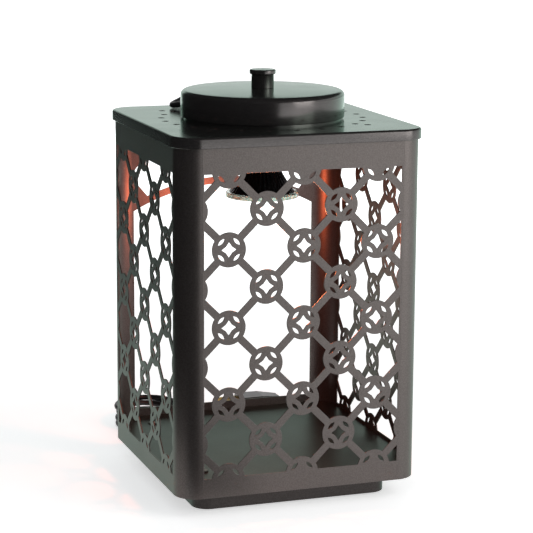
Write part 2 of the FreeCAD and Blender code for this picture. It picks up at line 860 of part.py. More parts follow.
def cross_section(start, ahead, diameter):
    """A hexagon square to the path at its start, with a flat side level."""
    aside = ahead.cross(Vector(0, 0, 1))
    if aside.Length < 1e-6:
        aside = Vector(1, 0, 0)
    aside.normalize()
    up = aside.cross(ahead).normalize()
    corners = []
    for index in range(CORD_SIDES):
        angle = 2 * math.pi * index / CORD_SIDES
        corners.append(start + (aside * math.cos(angle) + up * math.sin(angle)) * (diameter / 2))
    return Part.makePolygon(corners + corners[:1])


def arc_through(start, corner_point, end):
    """Edge of the arc that is tangent to both lines from the corner point."""
    chord = end - start
    middle = (start + end) * 0.5
    towards = corner_point - middle
    if towards.Length < 1e-4 * chord.Length:
        return Part.makeLine(start, end)
    half = math.atan2(towards.Length, chord.Length / 2)
    bulge = towards.normalize() * (chord.Length / 2 * math.tan(half / 2))
    return Part.Arc(start, middle + bulge, end).toShape()


def routed_edges(points):
    """Straight runs joined by tangent arcs, each as large as its two runs allow."""
    edges, radii = [], []
    start = points[0]
    for before, here, after in zip(points, points[1:], points[2:]):
        inward, onward = here - before, after - here
        turn = inward.getAngle(onward)
        reach = ARC_SHARE * min(inward.Length, onward.Length)
        radii.append(reach / math.tan(turn / 2))
        enter = here - inward.normalize() * reach
        leave = here + onward.normalize() * reach
        edges.append(Part.makeLine(start, enter))
        edges.append(arc_through(enter, here, leave))
        start = leave
    edges.append(Part.makeLine(start, points[-1]))
    return edges, radii


def tube(name, edges, diameter):
    """Sweep the cord's section along the edges and compare its volume with section times length."""
    path = Part.Wire(edges)
    first = edges[0]
    ahead = first.tangentAt(first.FirstParameter)
    section = cross_section(first.valueAt(first.FirstParameter), ahead, diameter)
    shape = path.makePipeShell([section], True, False)
    expected = Part.Face(section).Area * path.Length
    print(f"{name}: length {path.Length:.1f}, volume ratio {shape.Volume / expected:.4f}")
    return shape


def routed(name, points, diameter):
    edges, radii = routed_edges([Vector(*place) for place in points])
    print(f"{name}: radii " + ", ".join(f"{radius:.1f}" for radius in radii))
    return tube(name, edges, diameter)


COIL_MIDDLE = Vector(-40.0, 144.0, 0)
COIL_LAYERS = 4
FLOOR_GAP = 0.1
CLIMB = math.pi
TURN_SHARE = 0.8
SAMPLE_STEP = 1.5


def coil_point(angle):
    """Centre of the cord after turning through the angle: in and out by layers, climbing at each reversal."""
    pitch = float(size("coil_pitch")) / (2 * math.pi)
    layer = 2 * math.pi * float(size("layer_turns"))
    swing = pitch * layer / 2
    floor = float(size("cord_diameter")) / 2 + FLOOR_GAP
    place = angle / layer
    index = min(int(place), COIL_LAYERS - 1)
    inward = index % 2 == 0
    within = angle - index * layer
    offset = swing - pitch * within if inward else -swing + pitch * within
    height = index * float(size("layer_rise"))
    for border in range(1, COIL_LAYERS):
        away = angle - border * layer
        if abs(away) < CLIMB / 2:
            sign = 1 if border % 2 == 1 else -1
            offset += sign * pitch * (CLIMB / 2 - abs(away)) ** 2 / CLIMB
            share = (1 - math.cos(math.pi * (away + CLIMB / 2) / CLIMB)) / 2
            height = (border - 1 + share) * float(size("layer_rise"))
    centre = COIL_MIDDLE + Vector(0, 0, floor + height)
    return centre + around(float(size("coil_radius")) + offset, angle)


def coil_heading(angle):
    step = 1e-4
    return (coil_point(angle + step) - coil_point(angle - step)).normalize()


def biarc(start, heading, end, final):
    """Two tangent arcs from start to end with the given headings."""
    chord = end - start
    both = heading + final
    square_part = 2 * (1 - heading.dot(final))
    across = chord.dot(both)
    if square_part < 1e-9:
        reach = chord.dot(chord) / (4 * chord.dot(final))
    else:
        reach = (-across + math.sqrt(across ** 2 + square_part * chord.dot(chord))) / square_part
    first, second = start + heading * reach, end - final * reach
    joint = (first + second) * 0.5
    return [arc_through(start, first, joint), arc_through(joint, second, end)]


def coil_edges():
    total = 2 * math.pi * float(size("layer_turns")) * COIL_LAYERS
    quarters = round(total / (math.pi / 2))
    angles = [total * index / quarters for index in range(quarters + 1)]
    places = [coil_point(angle) for angle in angles]
    headings = [coil_heading(angle) for angle in angles]
    headings[0] = around(1.0, math.pi / 2)
    headings[-1] = around(1.0, total + math.pi / 2)
    lead = float(size("cord_diameter"))
    edges = [Part.makeLine(places[0] - headings[0] * lead, places[0])]
    for index in range(quarters):
        edges += biarc(places[index], headings[index], places[index + 1], headings[index + 1])
    edges.append(Part.makeLine(places[-1], places[-1] + headings[-1] * lead))
    return edges


def least_gap(edges, diameter):
    """Least clear distance between stretches of the path that lie more than a half turn apart."""
    samples, travelled = [], 0.0
    for edge in edges:
        count = max(2, int(edge.Length / SAMPLE_STEP))
        for index in range(count):
            share = index / count
            place = edge.valueAt(edge.FirstParameter + (edge.LastParameter - edge.FirstParameter) * share)
            samples.append((travelled + edge.Length * share, place))
        travelled += edge.Length
    apart = TURN_SHARE * math.pi * float(size("coil_radius"))
    least = min(
        (place - other).Length
        for number, (distance, place) in enumerate(samples)
        for further, other in samples[number + 1:]
        if further - distance > apart
    )
    return least - diameter


SWITCH_MIDDLE = (42.0, 122.0)
PLUG_FACE = (38.0, 162.0)
RELIEF_FLANGE = 3.8
RELIEF_FLANGE_WALL = 1.2
WALL_FIT = 0.3
NOSE_ENTRY = 1.5
NOSE_SHARE = 0.9


def exit_way():
    return around(1.0, math.radians(float(size("exit_angle"))))


def exit_point(radius):
    return exit_way() * float(radius) + Vector(0, 0, float(dome_seat + size("exit_height")))


def relief_tip():
    reach = float(size("dome_diameter")) / 2 + float(size("relief_length"))
    return exit_point(reach) - Vector(0, 0, float(size("relief_droop")))


def inner_face():
    """Distance from the axis to the strain relief's flange, inside the dome's wall."""
    return float(size("dome_diameter") / 2 - wall) - WALL_FIT - RELIEF_FLANGE_WALL


def make_strain_relief():
    """Rubber sleeve through the dome's wall: a flange inside, a drooping tapered nose outside."""
    way = exit_way()
    outer = float(size("dome_diameter")) / 2
    radius = float(size("relief_diameter")) / 2
    flange = Part.makeCylinder(RELIEF_FLANGE, RELIEF_FLANGE_WALL, exit_point(inner_face()), way)
    neck = Part.makeCylinder(radius, outer + WALL_FIT - inner_face(), exit_point(inner_face()), way)
    root = exit_point(outer - NOSE_ENTRY)
    nose = relief_tip() - root
    cone = Part.makeCone(radius * NOSE_SHARE, float(size("relief_tip")) / 2, nose.Length, root, nose)
    feature("strain_relief", joined(neck, flange, cone))


HOLE_START = 0.4
HOLE_REACH = 0.25


def open_dome(dome):
    """Cut the lead's hole through the dome's wall."""
    hole = doc.addObject("Part::Cylinder", "dome_exit_hole")
    bind(hole, Radius=size("relief_diameter") / 2, Height=size("dome_diameter") * HOLE_REACH)
    facing = Rotation(Vector(0, 0, 1), exit_way())
    hole.Placement = FreeCAD.Placement(Vector(), facing)
    way = exit_way()
    start = size("dome_diameter") * HOLE_START
    bind(hole, Placement__Base__x=start * way.x, Placement__Base__y=start * way.y,
         Placement__Base__z=dome_seat + size("exit_height"))
    return cut("dome_cover_cut", dome, hole)


LEAD_SPREAD = 1.6
LEAD_FOOT = (-2.0, 12.0)
LEAD_FOOT_SPREAD = 2.5
LEAD_RISE = 5.0
LEAD_BENDS = (38.0, 46.0)
LEAD_DROP = 3.4


def make_socket_leads():
    """Two insulated wires from the lamp holder to the strain relief."""
    way = exit_way()
    aside = Vector(-way.y, way.x, 0)
    wires = []
    for side in (-1, 1):
        spread = aside * (LEAD_SPREAD * side)
        foot = Vector(LEAD_FOOT[0] - LEAD_FOOT_SPREAD * side, LEAD_FOOT[1], float(bridge_under))
        rise, drop = Vector(0, 0, LEAD_RISE), Vector(0, 0, LEAD_DROP)
        points = [foot, foot + rise, exit_point(LEAD_BENDS[0]) + spread + drop,
                  exit_point(LEAD_BENDS[1]) + spread, exit_point(inner_face()) + spread]
        edges, radii = routed_edges(points)
        wires.append(tube(f"socket_lead_{side}", edges, float(size("lead_diameter"))))
    feature("socket_leads", Part.Compound(wires))


def coil_start():
    return coil_edges()[0].Vertexes[0].Point


def coil_end():
    return coil_edges()[-1].Vertexes[-1].Point


def make_cord():
    """The lead from the dome over the cap's rear edge to the table, its coil, the switch and the plug."""
    diameter = float(size("cord_diameter"))
    tip, start, end = relief_tip(), coil_start(), coil_end()
    run = [
        (tip.x, tip.y, tip.z), (-43.9, 60.4, 253.05), (-43.9, 66.9, 252.7), (-39.9, 73.9, 253.0),
        (-33.8, 79.8, 254.0), (-27.4, 86.8, 256.0), (-22.8, 94.8, 254.0), (-19.0, 101.4, 248.3),
        (-16.8, 105.3, 239.9), (-16.8, 106.4, 222.5), (-17.5, 106.9, 190.0), (-18.6, 106.8, 140.0),
        (-19.9, 106.1, 95.0), (-21.0, 105.2, 60.0), (-21.7, 104.6, 38.0), (-22.0, 104.7, 21.2),
        (-21.6, 108.2, 12.4), (-20.2, 115.0, 5.7), (-17.6, 123.6, 2.1), (start.x, start.y - 8, start.z),
        (start.x, start.y, start.z),
    ]
    feature("cord_run", routed("run", run, diameter))
    edges = coil_edges()
    print(f"coil: least gap to itself {least_gap(edges, diameter):.2f}")
    feature("cord_coil", tube("coil", edges, diameter))
    split = float(size("switch_height")) / 2
    near = SWITCH_MIDDLE[0] - float(size("switch_length")) / 2
    far = SWITCH_MIDDLE[0] + float(size("switch_length")) / 2
    tail = [
        (end.x, end.y, end.z), (end.x + 9, end.y, end.z), (-17.5, 119.0, 13.6), (-8.0, 120.2, 10.4),
        (1.0, 121.4, 8.5), (near - 6, SWITCH_MIDDLE[1], split), (near, SWITCH_MIDDLE[1], split),
    ]
    feature("cord_tail", routed("tail", tail, diameter))
    back = PLUG_FACE[0] + float(size("plug_length"))
    level = float(size("plug_height")) / 2
    lead = [
        (far, SWITCH_MIDDLE[1], split), (far + 10.5, SWITCH_MIDDLE[1], split), (89.8, 127.3, 7.4),
        (95.1, 136.6, 6.8), (95.1, 147.3, 6.4), (89.8, 156.6, 6.1), (back + 10.5, PLUG_FACE[1], level),
        (back, PLUG_FACE[1], level),
    ]
    feature("plug_lead", routed("lead", lead, diameter))


WALL_SPARE = 0.2
WHEEL_EDGE = 0.8


def place_at(thing, spot):
    bind(thing, Placement__Base__x=spot[0], Placement__Base__y=spot[1])
    return thing


def make_switch():
    """In-line switch: two housing halves with a thumbwheel on an axle between them."""
    length, across = size("switch_length"), size("switch_width")
    split = size("switch_height") / 2
    clearance = size("wheel_clearance")
    half_wheel = size("wheel_width") / 2
    outline = [(-length / 2, -across / 2), (length / 2, -across / 2), (length / 2, across / 2),
               (-length / 2, across / 2)]
    room = polygon(0, size("wheel_diameter") / 2 + clearance + WALL_SPARE, MOUTH_SIDES)
    halves = {}
    for name in ("switch_base", "switch_cover"):
        body = doc.addObject("PartDesign::Body", f"{name}_body")
        if name == "switch_base":
            pad(body, f"{name}_shell", outline, 0, split)
            pocket(body, f"{name}_room", room, split, half_wheel + clearance)
            axle = polygon(0, size("axle_diameter") / 2, AXLE_SIDES)
            pad(body, "switch_axle", axle, split - half_wheel - clearance, 2 * (half_wheel + clearance))
        else:
            pad(body, f"{name}_shell", outline, split, split)
            pocket(body, f"{name}_room", room, split + half_wheel + clearance, half_wheel + clearance)
        halves[name] = body
    for name, body in halves.items():
        node(name, place_at(body, SWITCH_MIDDLE))
    rim = size("wheel_diameter") / 2
    bore = size("axle_diameter") / 2 + size("axle_clearance")
    bottom, top = split - half_wheel, split + half_wheel
    edge = WHEEL_EDGE
    wheel = turned("switch_wheel", [
        (bore, bottom), (rim - edge, bottom), (rim, bottom + edge), (rim, top - edge), (rim - edge, top),
        (bore, top),
    ])
    node("switch_wheel", place_at(wheel, SWITCH_MIDDLE))


# Shares of the plug's length, width and height at three sections, and the corners of each section
PLUG_SECTIONS = ((0.0, 1.0, 1.0), (0.55, 0.95, 1.0), (1.0, 0.55, 0.7))
PLUG_OUTLINE = ((-1, -0.5), (-0.8, -1), (0.8, -1), (1, -0.5), (1, 0.5), (0.8, 1), (-0.8, 1), (-1, 0.5))


def make_plug():
    """Moulded two-blade plug, tapering towards its lead; one blade is wider."""
    deep, high, long = (float(size(word)) for word in ("plug_width", "plug_height", "plug_length"))
    ends = []
    for place, wide_share, high_share in PLUG_SECTIONS:
        ends.append(Part.makePolygon([
            Vector(PLUG_FACE[0] + place * long, PLUG_FACE[1] + a * deep / 2 * wide_share,
                   high / 2 + b * high / 2 * high_share)
            for a, b in PLUG_OUTLINE + PLUG_OUTLINE[:1]
        ]))
    feature("plug_body", Part.makeLoft(ends, True, True))
    blades = []
    for number, (side, word) in enumerate(((-1, "blade_width"), (1, "wide_blade"))):
        blades.append(solid(
            "Box", f"plug_blade_{number}", Length=size("blade_length"), Width=size("blade_wall"),
            Height=size(word),
            at=(PLUG_FACE[0] - size("blade_length"),
                PLUG_FACE[1] + side * size("blade_spacing") / 2 - size("blade_wall") / 2,
                size("plug_height") / 2 - size(word) / 2),
        ))
    node("plug_blades", group("plug_blades_group", *blades))


make_lattice_sides()
make_back_panel()
make_top_cap()
make_floor_plate()
make_base_plinth()
make_rivets_and_pads()
make_dome()
make_knob()
make_bridge()
make_holder_screws()
make_socket()
make_lamp()
make_strain_relief()
make_socket_leads()
make_cord()
make_switch()
make_plug()
doc.recompute()

for thing in doc.Objects:
    if "Invalid" in thing.State or "Error" in thing.State:
        raise RuntimeError(f"{thing.Label} failed: {thing.State}")
for name, thing in NODES.items():
    if thing.Shape.isNull() or not thing.Shape.isValid() or not thing.Shape.Solids:
        raise RuntimeError(f"{name} has no valid solid")

os.makedirs("parts", exist_ok=True)
for name, thing in NODES.items():
    thing.Shape.exportStep(f"parts/{name}.step")
print(f"{len(NODES)} sub-parts, {sum(len(thing.Shape.Solids) for thing in NODES.values())} solids")
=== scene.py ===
"""Looks of the candle warmer lamp: finishes, fine lattice, lamp, lead, studio and camera."""
import json
import math

import bmesh
import bpy
from mathutils import Matrix, Vector


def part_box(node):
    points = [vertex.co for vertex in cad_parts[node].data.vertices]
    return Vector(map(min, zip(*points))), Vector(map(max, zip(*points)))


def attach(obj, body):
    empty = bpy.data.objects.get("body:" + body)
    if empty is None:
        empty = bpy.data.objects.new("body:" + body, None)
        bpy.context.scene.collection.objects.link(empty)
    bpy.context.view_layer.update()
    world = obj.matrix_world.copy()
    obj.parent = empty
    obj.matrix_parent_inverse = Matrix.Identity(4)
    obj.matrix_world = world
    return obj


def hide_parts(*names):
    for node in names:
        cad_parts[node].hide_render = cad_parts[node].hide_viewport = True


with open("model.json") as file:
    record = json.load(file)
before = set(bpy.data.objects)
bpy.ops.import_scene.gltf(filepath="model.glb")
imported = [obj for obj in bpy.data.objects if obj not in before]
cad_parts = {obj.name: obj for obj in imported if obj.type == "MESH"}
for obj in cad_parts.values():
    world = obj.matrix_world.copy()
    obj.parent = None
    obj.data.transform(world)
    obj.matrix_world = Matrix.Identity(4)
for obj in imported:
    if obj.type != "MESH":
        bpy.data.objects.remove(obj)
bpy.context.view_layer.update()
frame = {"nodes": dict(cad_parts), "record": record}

MM = 0.001
NODES = frame["nodes"]


def low(node):
    return Vector(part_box(node)[0])


def high(node):
    return Vector(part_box(node)[1])


# Camera at the photograph's viewing angle

CAMERA_YAW = math.radians(19.303)
CAMERA_PITCH = math.radians(11.466)
CAMERA_ROLL = math.radians(0.376)
CAMERA_DISTANCE = 1391.6 * MM
CAMERA_ASIDE = 3.575 * MM
CAMERA_UP = 20.448 * MM
TARGET_HEIGHT = 127.0 * MM
FOCAL_SHARE = 2028.4 / 533
SENSOR = 36.0


def make_camera():
    ahead = Vector((
        math.sin(CAMERA_YAW) * math.cos(CAMERA_PITCH),
        math.cos(CAMERA_YAW) * math.cos(CAMERA_PITCH),
        -math.sin(CAMERA_PITCH),
    ))
    level = Vector((math.cos(CAMERA_YAW), -math.sin(CAMERA_YAW), 0))
    upright = level.cross(ahead)
    right = level * math.cos(CAMERA_ROLL) + upright * math.sin(CAMERA_ROLL)
    up = upright * math.cos(CAMERA_ROLL) - level * math.sin(CAMERA_ROLL)
    place = Vector((0, 0, TARGET_HEIGHT)) - ahead * CAMERA_DISTANCE + right * CAMERA_ASIDE + up * CAMERA_UP
    data = bpy.data.cameras.new("camera")
    data.sensor_width = SENSOR
    data.sensor_fit = "HORIZONTAL"
    data.lens = FOCAL_SHARE * SENSOR
    data.clip_end = 20
    camera = bpy.data.objects.new("camera", data)
    bpy.context.scene.collection.objects.link(camera)
    turn = Matrix((right, up, -ahead)).transposed().to_4x4()
    camera.matrix_world = Matrix.Translation(place) @ turn
    bpy.context.scene.camera = camera


# Studio


def area_light(name, place, target, across, power, colour=(1, 1, 1)):
    data = bpy.data.lights.new(name, "AREA")
    data.shape = "RECTANGLE"
    data.size, data.size_y = across
    data.energy = power
    data.color = colour
    light = bpy.data.objects.new(name, data)
    bpy.context.scene.collection.objects.link(light)
    light.visible_camera = False
    light.visible_transmission = False
    place, target = Vector(place), Vector(target)
    turn = (target - place).to_track_quat("-Z", "Y").to_matrix().to_4x4()
    light.matrix_world = Matrix.Translation(place) @ turn
    return light


def seen_rays(nodes, links):
    """1 for camera, transmission and glossy rays, which see the background itself."""
    path = nodes.new("ShaderNodeLightPath")
    total = path.outputs["Is Camera Ray"]
    for kind in ("Is Transmission Ray", "Is Glossy Ray"):
        either = nodes.new("ShaderNodeMath")
        either.operation = "MAXIMUM"
        links.new(total, either.inputs[0])
        links.new(path.outputs[kind], either.inputs[1])
        total = either.outputs[0]
    return total


SOFT_COLOUR = (0.93, 0.97, 1.0)
SOFT_STRENGTH = 0.3


def make_world():
    """White to camera, glossy and transmission rays; soft bluish light for the rest."""
    world = bpy.data.worlds.new("studio")
    bpy.context.scene.world = world
    world.use_nodes = True
    nodes, links = world.node_tree.nodes, world.node_tree.links
    nodes.clear()
    out = nodes.new("ShaderNodeOutputWorld")
    soft = nodes.new("ShaderNodeBackground")
    soft.inputs["Color"].default_value = (*SOFT_COLOUR, 1)
    soft.inputs["Strength"].default_value = SOFT_STRENGTH
    white = nodes.new("ShaderNodeBackground")
    white.inputs["Color"].default_value = (1, 1, 1, 1)
    white.inputs["Strength"].default_value = 1.0
    mix = nodes.new("ShaderNodeMixShader")
    links.new(seen_rays(nodes, links), mix.inputs["Fac"])
    links.new(soft.outputs[0], mix.inputs[1])
    links.new(white.outputs[0], mix.inputs[2])
    links.new(mix.outputs[0], out.inputs["Surface"])


FLOOR_HALF = 6.0
NEAR_FLOOR = 0.25
FAR_FLOOR = 1.1
NEAR_GLOW = 0.55


def make_floor():
    mesh = bpy.data.meshes.new("floor")
    bm = bmesh.new()
    bmesh.ops.create_grid(bm, x_segments=1, y_segments=1, size=FLOOR_HALF)
    bm.to_mesh(mesh)
    bm.free()
    floor = bpy.data.objects.new("floor", mesh)
    bpy.context.scene.collection.objects.link(floor)
    material = bpy.data.materials.new("pale_floor")
    material.use_nodes = True
    nodes, links = material.node_tree.nodes, material.node_tree.links
    shader = nodes["Principled BSDF"]
    shader.inputs["Base Color"].default_value = (0.93, 0.93, 0.93, 1)
    shader.inputs["Roughness"].default_value = 0.7
    glow = nodes.new("ShaderNodeEmission")
    glow.inputs["Color"].default_value = (1, 1, 1, 1)
    place = nodes.new("ShaderNodeNewGeometry")
    distance = nodes.new("ShaderNodeVectorMath")
    distance.operation = "LENGTH"
    links.new(place.outputs["Position"], distance.inputs[0])
    rise = nodes.new("ShaderNodeMapRange")
    rise.inputs["From Min"].default_value = NEAR_FLOOR
    rise.inputs["From Max"].default_value = FAR_FLOOR
    rise.inputs["To Min"].default_value = NEAR_GLOW
    rise.inputs["To Max"].default_value = 1.0
    links.new(distance.outputs["Value"], rise.inputs["Value"])
    links.new(rise.outputs["Result"], glow.inputs["Strength"])
    share = nodes.new("ShaderNodeMixShader")
    total = nodes.new("ShaderNodeAddShader")
    links.new(shader.outputs[0], total.inputs[0])
    links.new(glow.outputs[0], total.inputs[1])
    links.new(seen_rays(nodes, links), share.inputs["Fac"])
    links.new(shader.outputs[0], share.inputs[1])
    links.new(total.outputs[0], share.inputs[2])
    links.new(share.outputs[0], nodes["Material Output"].inputs["Surface"])
    mesh.materials.append(material)


FLAGS = [
    [(-0.22, -0.25, 0.0), (-0.22, 1.4, 0.0), (-0.22, 1.4, 1.2), (-0.22, -0.25, 1.2)],
    [(-1.6, -1.7, 0.0), (0.12, -1.7, 0.0), (0.12, -1.7, 1.6), (-1.6, -1.7, 1.6)],
    [(-1.6, -1.7, 0.002), (0.12, -1.7, 0.002), (-0.02, -0.12, 0.002), (-1.6, -0.12, 0.002)],
    [(-1.6, -1.7, 0.72), (1.2, -1.7, 0.72), (1.2, 1.5, 0.72), (-1.6, 1.5, 0.72)],
]


def make_flags():
    """Black cards that only reflections see: left, in front to the left, on the floor there, and above."""
    mesh = bpy.data.meshes.new("flags")
    corners = [corner for flag in FLAGS for corner in flag]
    faces = [tuple(range(4 * index, 4 * index + 4)) for index in range(len(FLAGS))]
    mesh.from_pydata(corners, [], faces)
    flags = bpy.data.objects.new("flags", mesh)
    bpy.context.scene.collection.objects.link(flags)
    mesh.materials.append(new_material("black_card", (0.01, 0.01, 0.012), 1.0)[0])
    flags.visible_camera = False
    flags.visible_diffuse = False
    flags.visible_transmission = False
    flags.visible_volume_scatter = False
    flags.visible_shadow = False


LIGHT_TARGET = (0, 0, 0.14)
GLOW_POWER = 0.4
GLOW_COLOUR = (1.0, 0.19, 0.08)
GLOW_RADIUS = 12.0 * MM
GLOW_DROP = 30.0 * MM


def make_lights():
    """Key from the right, soft fills from the front and back, and the lamp's own warm glow."""
    area_light("key", (0.82, -0.98, 0.72), LIGHT_TARGET, (0.75, 1.25), 9, (1.0, 0.97, 0.95))
    fills = [
        area_light("front_fill", (-0.7, -1.4, 0.9), LIGHT_TARGET, (1.0, 1.0), 5, (0.95, 0.98, 1.0)),
        area_light("back_sheet", (0.3, 1.7, 0.5), LIGHT_TARGET, (2.2, 0.9), 12, (0.9, 1.0, 0.95)),
    ]
    for fill in fills:
        fill.visible_glossy = False
    data = bpy.data.lights.new("lamp_glow", "POINT")
    data.energy = GLOW_POWER
    data.color = GLOW_COLOUR
    data.shadow_soft_size = GLOW_RADIUS
    glow = bpy.data.objects.new("lamp_glow", data)
    glow.location = (0, 0, low("lamp_lens").z - GLOW_DROP)
    bpy.context.scene.collection.objects.link(glow)


# Finishes


def new_material(name, colour, roughness, metallic=0.0):
    material = bpy.data.materials.new(name)
    material.use_nodes = True
    shader = material.node_tree.nodes["Principled BSDF"]
    shader.inputs["Base Color"].default_value = (*colour, 1)
    shader.inputs["Roughness"].default_value = roughness
    shader.inputs["Metallic"].default_value = metallic
    return material, material.node_tree.nodes, material.node_tree.links, shader


def noise(nodes, links, scale, detail=3.0):
    place = nodes.new("ShaderNodeTexCoord")
    texture = nodes.new("ShaderNodeTexNoise")
    texture.inputs["Scale"].default_value = scale
    texture.inputs["Detail"].default_value = detail
    links.new(place.outputs["Object"], texture.inputs["Vector"])
    return texture.outputs["Fac"]


def ramp(nodes, links, source, stops):
    band = nodes.new("ShaderNodeValToRGB")
    links.new(source, band.inputs["Fac"])
    elements = band.color_ramp.elements
    elements[0].position, elements[1].position = stops[0][0], stops[-1][0]
    elements[0].color, elements[1].color = (*stops[0][1], 1), (*stops[-1][1], 1)
    return band.outputs["Color"]


def grain(nodes, links, shader, scale, depth, strength):
    bump = nodes.new("ShaderNodeBump")
    bump.inputs["Strength"].default_value = strength
    bump.inputs["Distance"].default_value = depth
    links.new(noise(nodes, links, scale, 4.0), bump.inputs["Height"])
    links.new(bump.outputs["Normal"], shader.inputs["Normal"])


def span(nodes, links, source, first, last):
    """Map a 0 to 1 value to the span between two numbers."""
    scaled = nodes.new("ShaderNodeMapRange")
    scaled.inputs["To Min"].default_value = first
    scaled.inputs["To Max"].default_value = last
    links.new(source, scaled.inputs["Value"])
    return scaled.outputs["Result"]


def mottle(nodes, links, shader, scale, dark, light):
    """Base colour that wanders between two tones."""
    tones = ramp(nodes, links, noise(nodes, links, scale), [(0.3, dark), (0.7, light)])
    links.new(tones, shader.inputs["Base Color"])


def bronze_enamel(name, dark, light, rough, bump):
    """Bronze finish with fine flake and a faint orange peel, green-grey at grazing sight."""
    material, nodes, links, shader = new_material(name, dark, rough[0], 0.85)
    flake = noise(nodes, links, 1200.0, 2.0)
    links.new(ramp(nodes, links, flake, [(0.36, dark), (0.66, light)]), shader.inputs["Base Color"])
    links.new(span(nodes, links, noise(nodes, links, 45.0), *rough), shader.inputs["Roughness"])
    shader.inputs["Specular Tint"].default_value = (0.8, 1.0, 0.9, 1)
    grain(nodes, links, shader, 700.0, 0.0001, bump)
    return material


def plated_steel():
    material, nodes, links, shader = new_material("plated_steel", (0.5, 0.5, 0.49), 0.32, 1.0)
    mottle(nodes, links, shader, 160.0, (0.42, 0.42, 0.41), (0.6, 0.6, 0.58))
    grain(nodes, links, shader, 700.0, 0.0001, 0.2)
    return material


def bright_metal(name, dark, light, roughness):
    material, nodes, links, shader = new_material(name, light, roughness, 1.0)
    mottle(nodes, links, shader, 220.0, dark, light)
    grain(nodes, links, shader, 1100.0, 0.00005, 0.15)
    return material


def ceramic(name, dark, light, roughness):
    material, nodes, links, shader = new_material(name, light, roughness)
    mottle(nodes, links, shader, 120.0, dark, light)
    grain(nodes, links, shader, 600.0, 0.0001, 0.3)
    return material


def black_moulding(name, dark, light, roughness, depth):
    material, nodes, links, shader = new_material(name, dark, roughness)
    mottle(nodes, links, shader, 80.0, dark, light)
    links.new(span(nodes, links, noise(nodes, links, 260.0), roughness - 0.05, roughness + 0.08),
              shader.inputs["Roughness"])
    grain(nodes, links, shader, 900.0, depth, 0.3)
    return material


def clear_glass():
    material, nodes, links, shader = new_material("clear_glass", (0.82, 0.95, 0.9), 0.06)
    shader.inputs["Transmission Weight"].default_value = 0.9
    shader.inputs["IOR"].default_value = 1.5
    grain(nodes, links, shader, 120.0, 0.0003, 0.25)
    return material


MATERIALS = {
    "bronze_enamel": bronze_enamel(
        "bronze_enamel", (0.104, 0.091, 0.087), (0.132, 0.117, 0.112), (0.37, 0.43), 0.08,
    ),
    "smooth_bronze": bronze_enamel(
        "smooth_bronze", (0.085, 0.078, 0.077), (0.108, 0.1, 0.098), (0.17, 0.23), 0.04,
    ),
    # A darker copy of bronze_enamel with the same roughness and grain: painted shade for the floor plate and
    # plinth, which sit under the lantern's overhang.
    "shade_darkened_bronze": bronze_enamel(
        "shade_darkened_bronze", (0.045, 0.038, 0.037), (0.062, 0.053, 0.052), (0.37, 0.43), 0.08,
    ),
    "steel": plated_steel(),
    "pin_metal": bright_metal("nickel_pins", (0.55, 0.55, 0.56), (0.75, 0.75, 0.76), 0.2),
    "holder_ceramic": ceramic("white_ceramic", (0.7, 0.68, 0.63), (0.85, 0.83, 0.78), 0.5),
    "lamp_ceramic": ceramic("dark_ceramic", (0.02, 0.021, 0.023), (0.045, 0.047, 0.05), 0.35),
    "reflector_coat": bright_metal("black_reflector", (0.03, 0.033, 0.036), (0.07, 0.076, 0.08), 0.25),
    "clear_glass": clear_glass(),
    "black_rubber": black_moulding(
        "black_rubber", (0.012, 0.012, 0.013), (0.022, 0.022, 0.023), 0.6, 0.0001,
    ),
    "cord_jacket": black_moulding(
        "cord_jacket", (0.010, 0.010, 0.011), (0.018, 0.018, 0.019), 0.38, 0.00006,
    ),
    "black_plastic": black_moulding(
        "black_plastic", (0.014, 0.014, 0.015), (0.025, 0.025, 0.026), 0.3, 0.00008,
    ),
    "blade_brass": bright_metal("brass_blades", (0.6, 0.48, 0.24), (0.78, 0.66, 0.38), 0.28),
}


# The floor plate and the plinth take the darker bronze copy, as painted shade for their place under the
# overhang.
SHADE_DARKENED_NODES = {"floor_plate": "shade_darkened_bronze", "base_plinth": "shade_darkened_bronze"}


def dress_frame():
    for entry in frame["record"]["subparts"]:
        mesh = NODES[entry["node"]].data
        finish = SHADE_DARKENED_NODES.get(entry["node"], entry["material_slot"])
        mesh.materials.clear()
        mesh.materials.append(MATERIALS[finish])


# Mesh helpers

SHARP_ANGLE = math.radians(32)
SHEET_SHARP_ANGLE = math.radians(15)


def link_mesh(name, bm, material, body, node, sharp=SHARP_ANGLE):
    """Turn a bmesh into a piece that rides on a CAD body and stands for a node."""
    bmesh.ops.recalc_face_normals(bm, faces=bm.faces)
    for face in bm.faces:
        face.smooth = True
    for edge in bm.edges:
        edge.smooth = len(edge.link_faces) == 2 and edge.calc_face_angle(0.0) < sharp
    mesh = bpy.data.meshes.new(name)
    bm.to_mesh(mesh)
    bm.free()
    piece = bpy.data.objects.new(name, mesh)
    bpy.context.scene.collection.objects.link(piece)
    mesh.materials.append(MATERIALS[material])
    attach(piece, body)
    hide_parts(node)
    return piece


def cut_sheet(outlines, thickness, edge):
    """A bmesh of flat sheet in the XY plane about z = 0; the first outline is the border, the rest holes."""
    curve = bpy.data.curves.new("sheet", "CURVE")
    curve.dimensions = "2D"
    curve.fill_mode = "BOTH"
    curve.extrude = thickness / 2 - edge
    curve.bevel_depth = edge
    curve.bevel_resolution = 1
    curve.offset = -edge
    for outline in outlines:
        spline = curve.splines.new("POLY")
        spline.points.add(len(outline) - 1)
        for point, (across, along) in zip(spline.points, outline):
            point.co = (across, along, 0, 1)
        spline.use_cyclic_u = True
    holder = bpy.data.objects.new("sheet", curve)
    bpy.context.scene.collection.objects.link(holder)
    mesh = bpy.data.meshes.new_from_object(holder.evaluated_get(bpy.context.evaluated_depsgraph_get()))
    bm = bmesh.new()
    bm.from_mesh(mesh)
    bmesh.ops.remove_doubles(bm, verts=bm.verts, dist=1e-6)
    bpy.data.objects.remove(holder)
    bpy.data.curves.remove(curve)
    bpy.data.meshes.remove(mesh)
    return bm


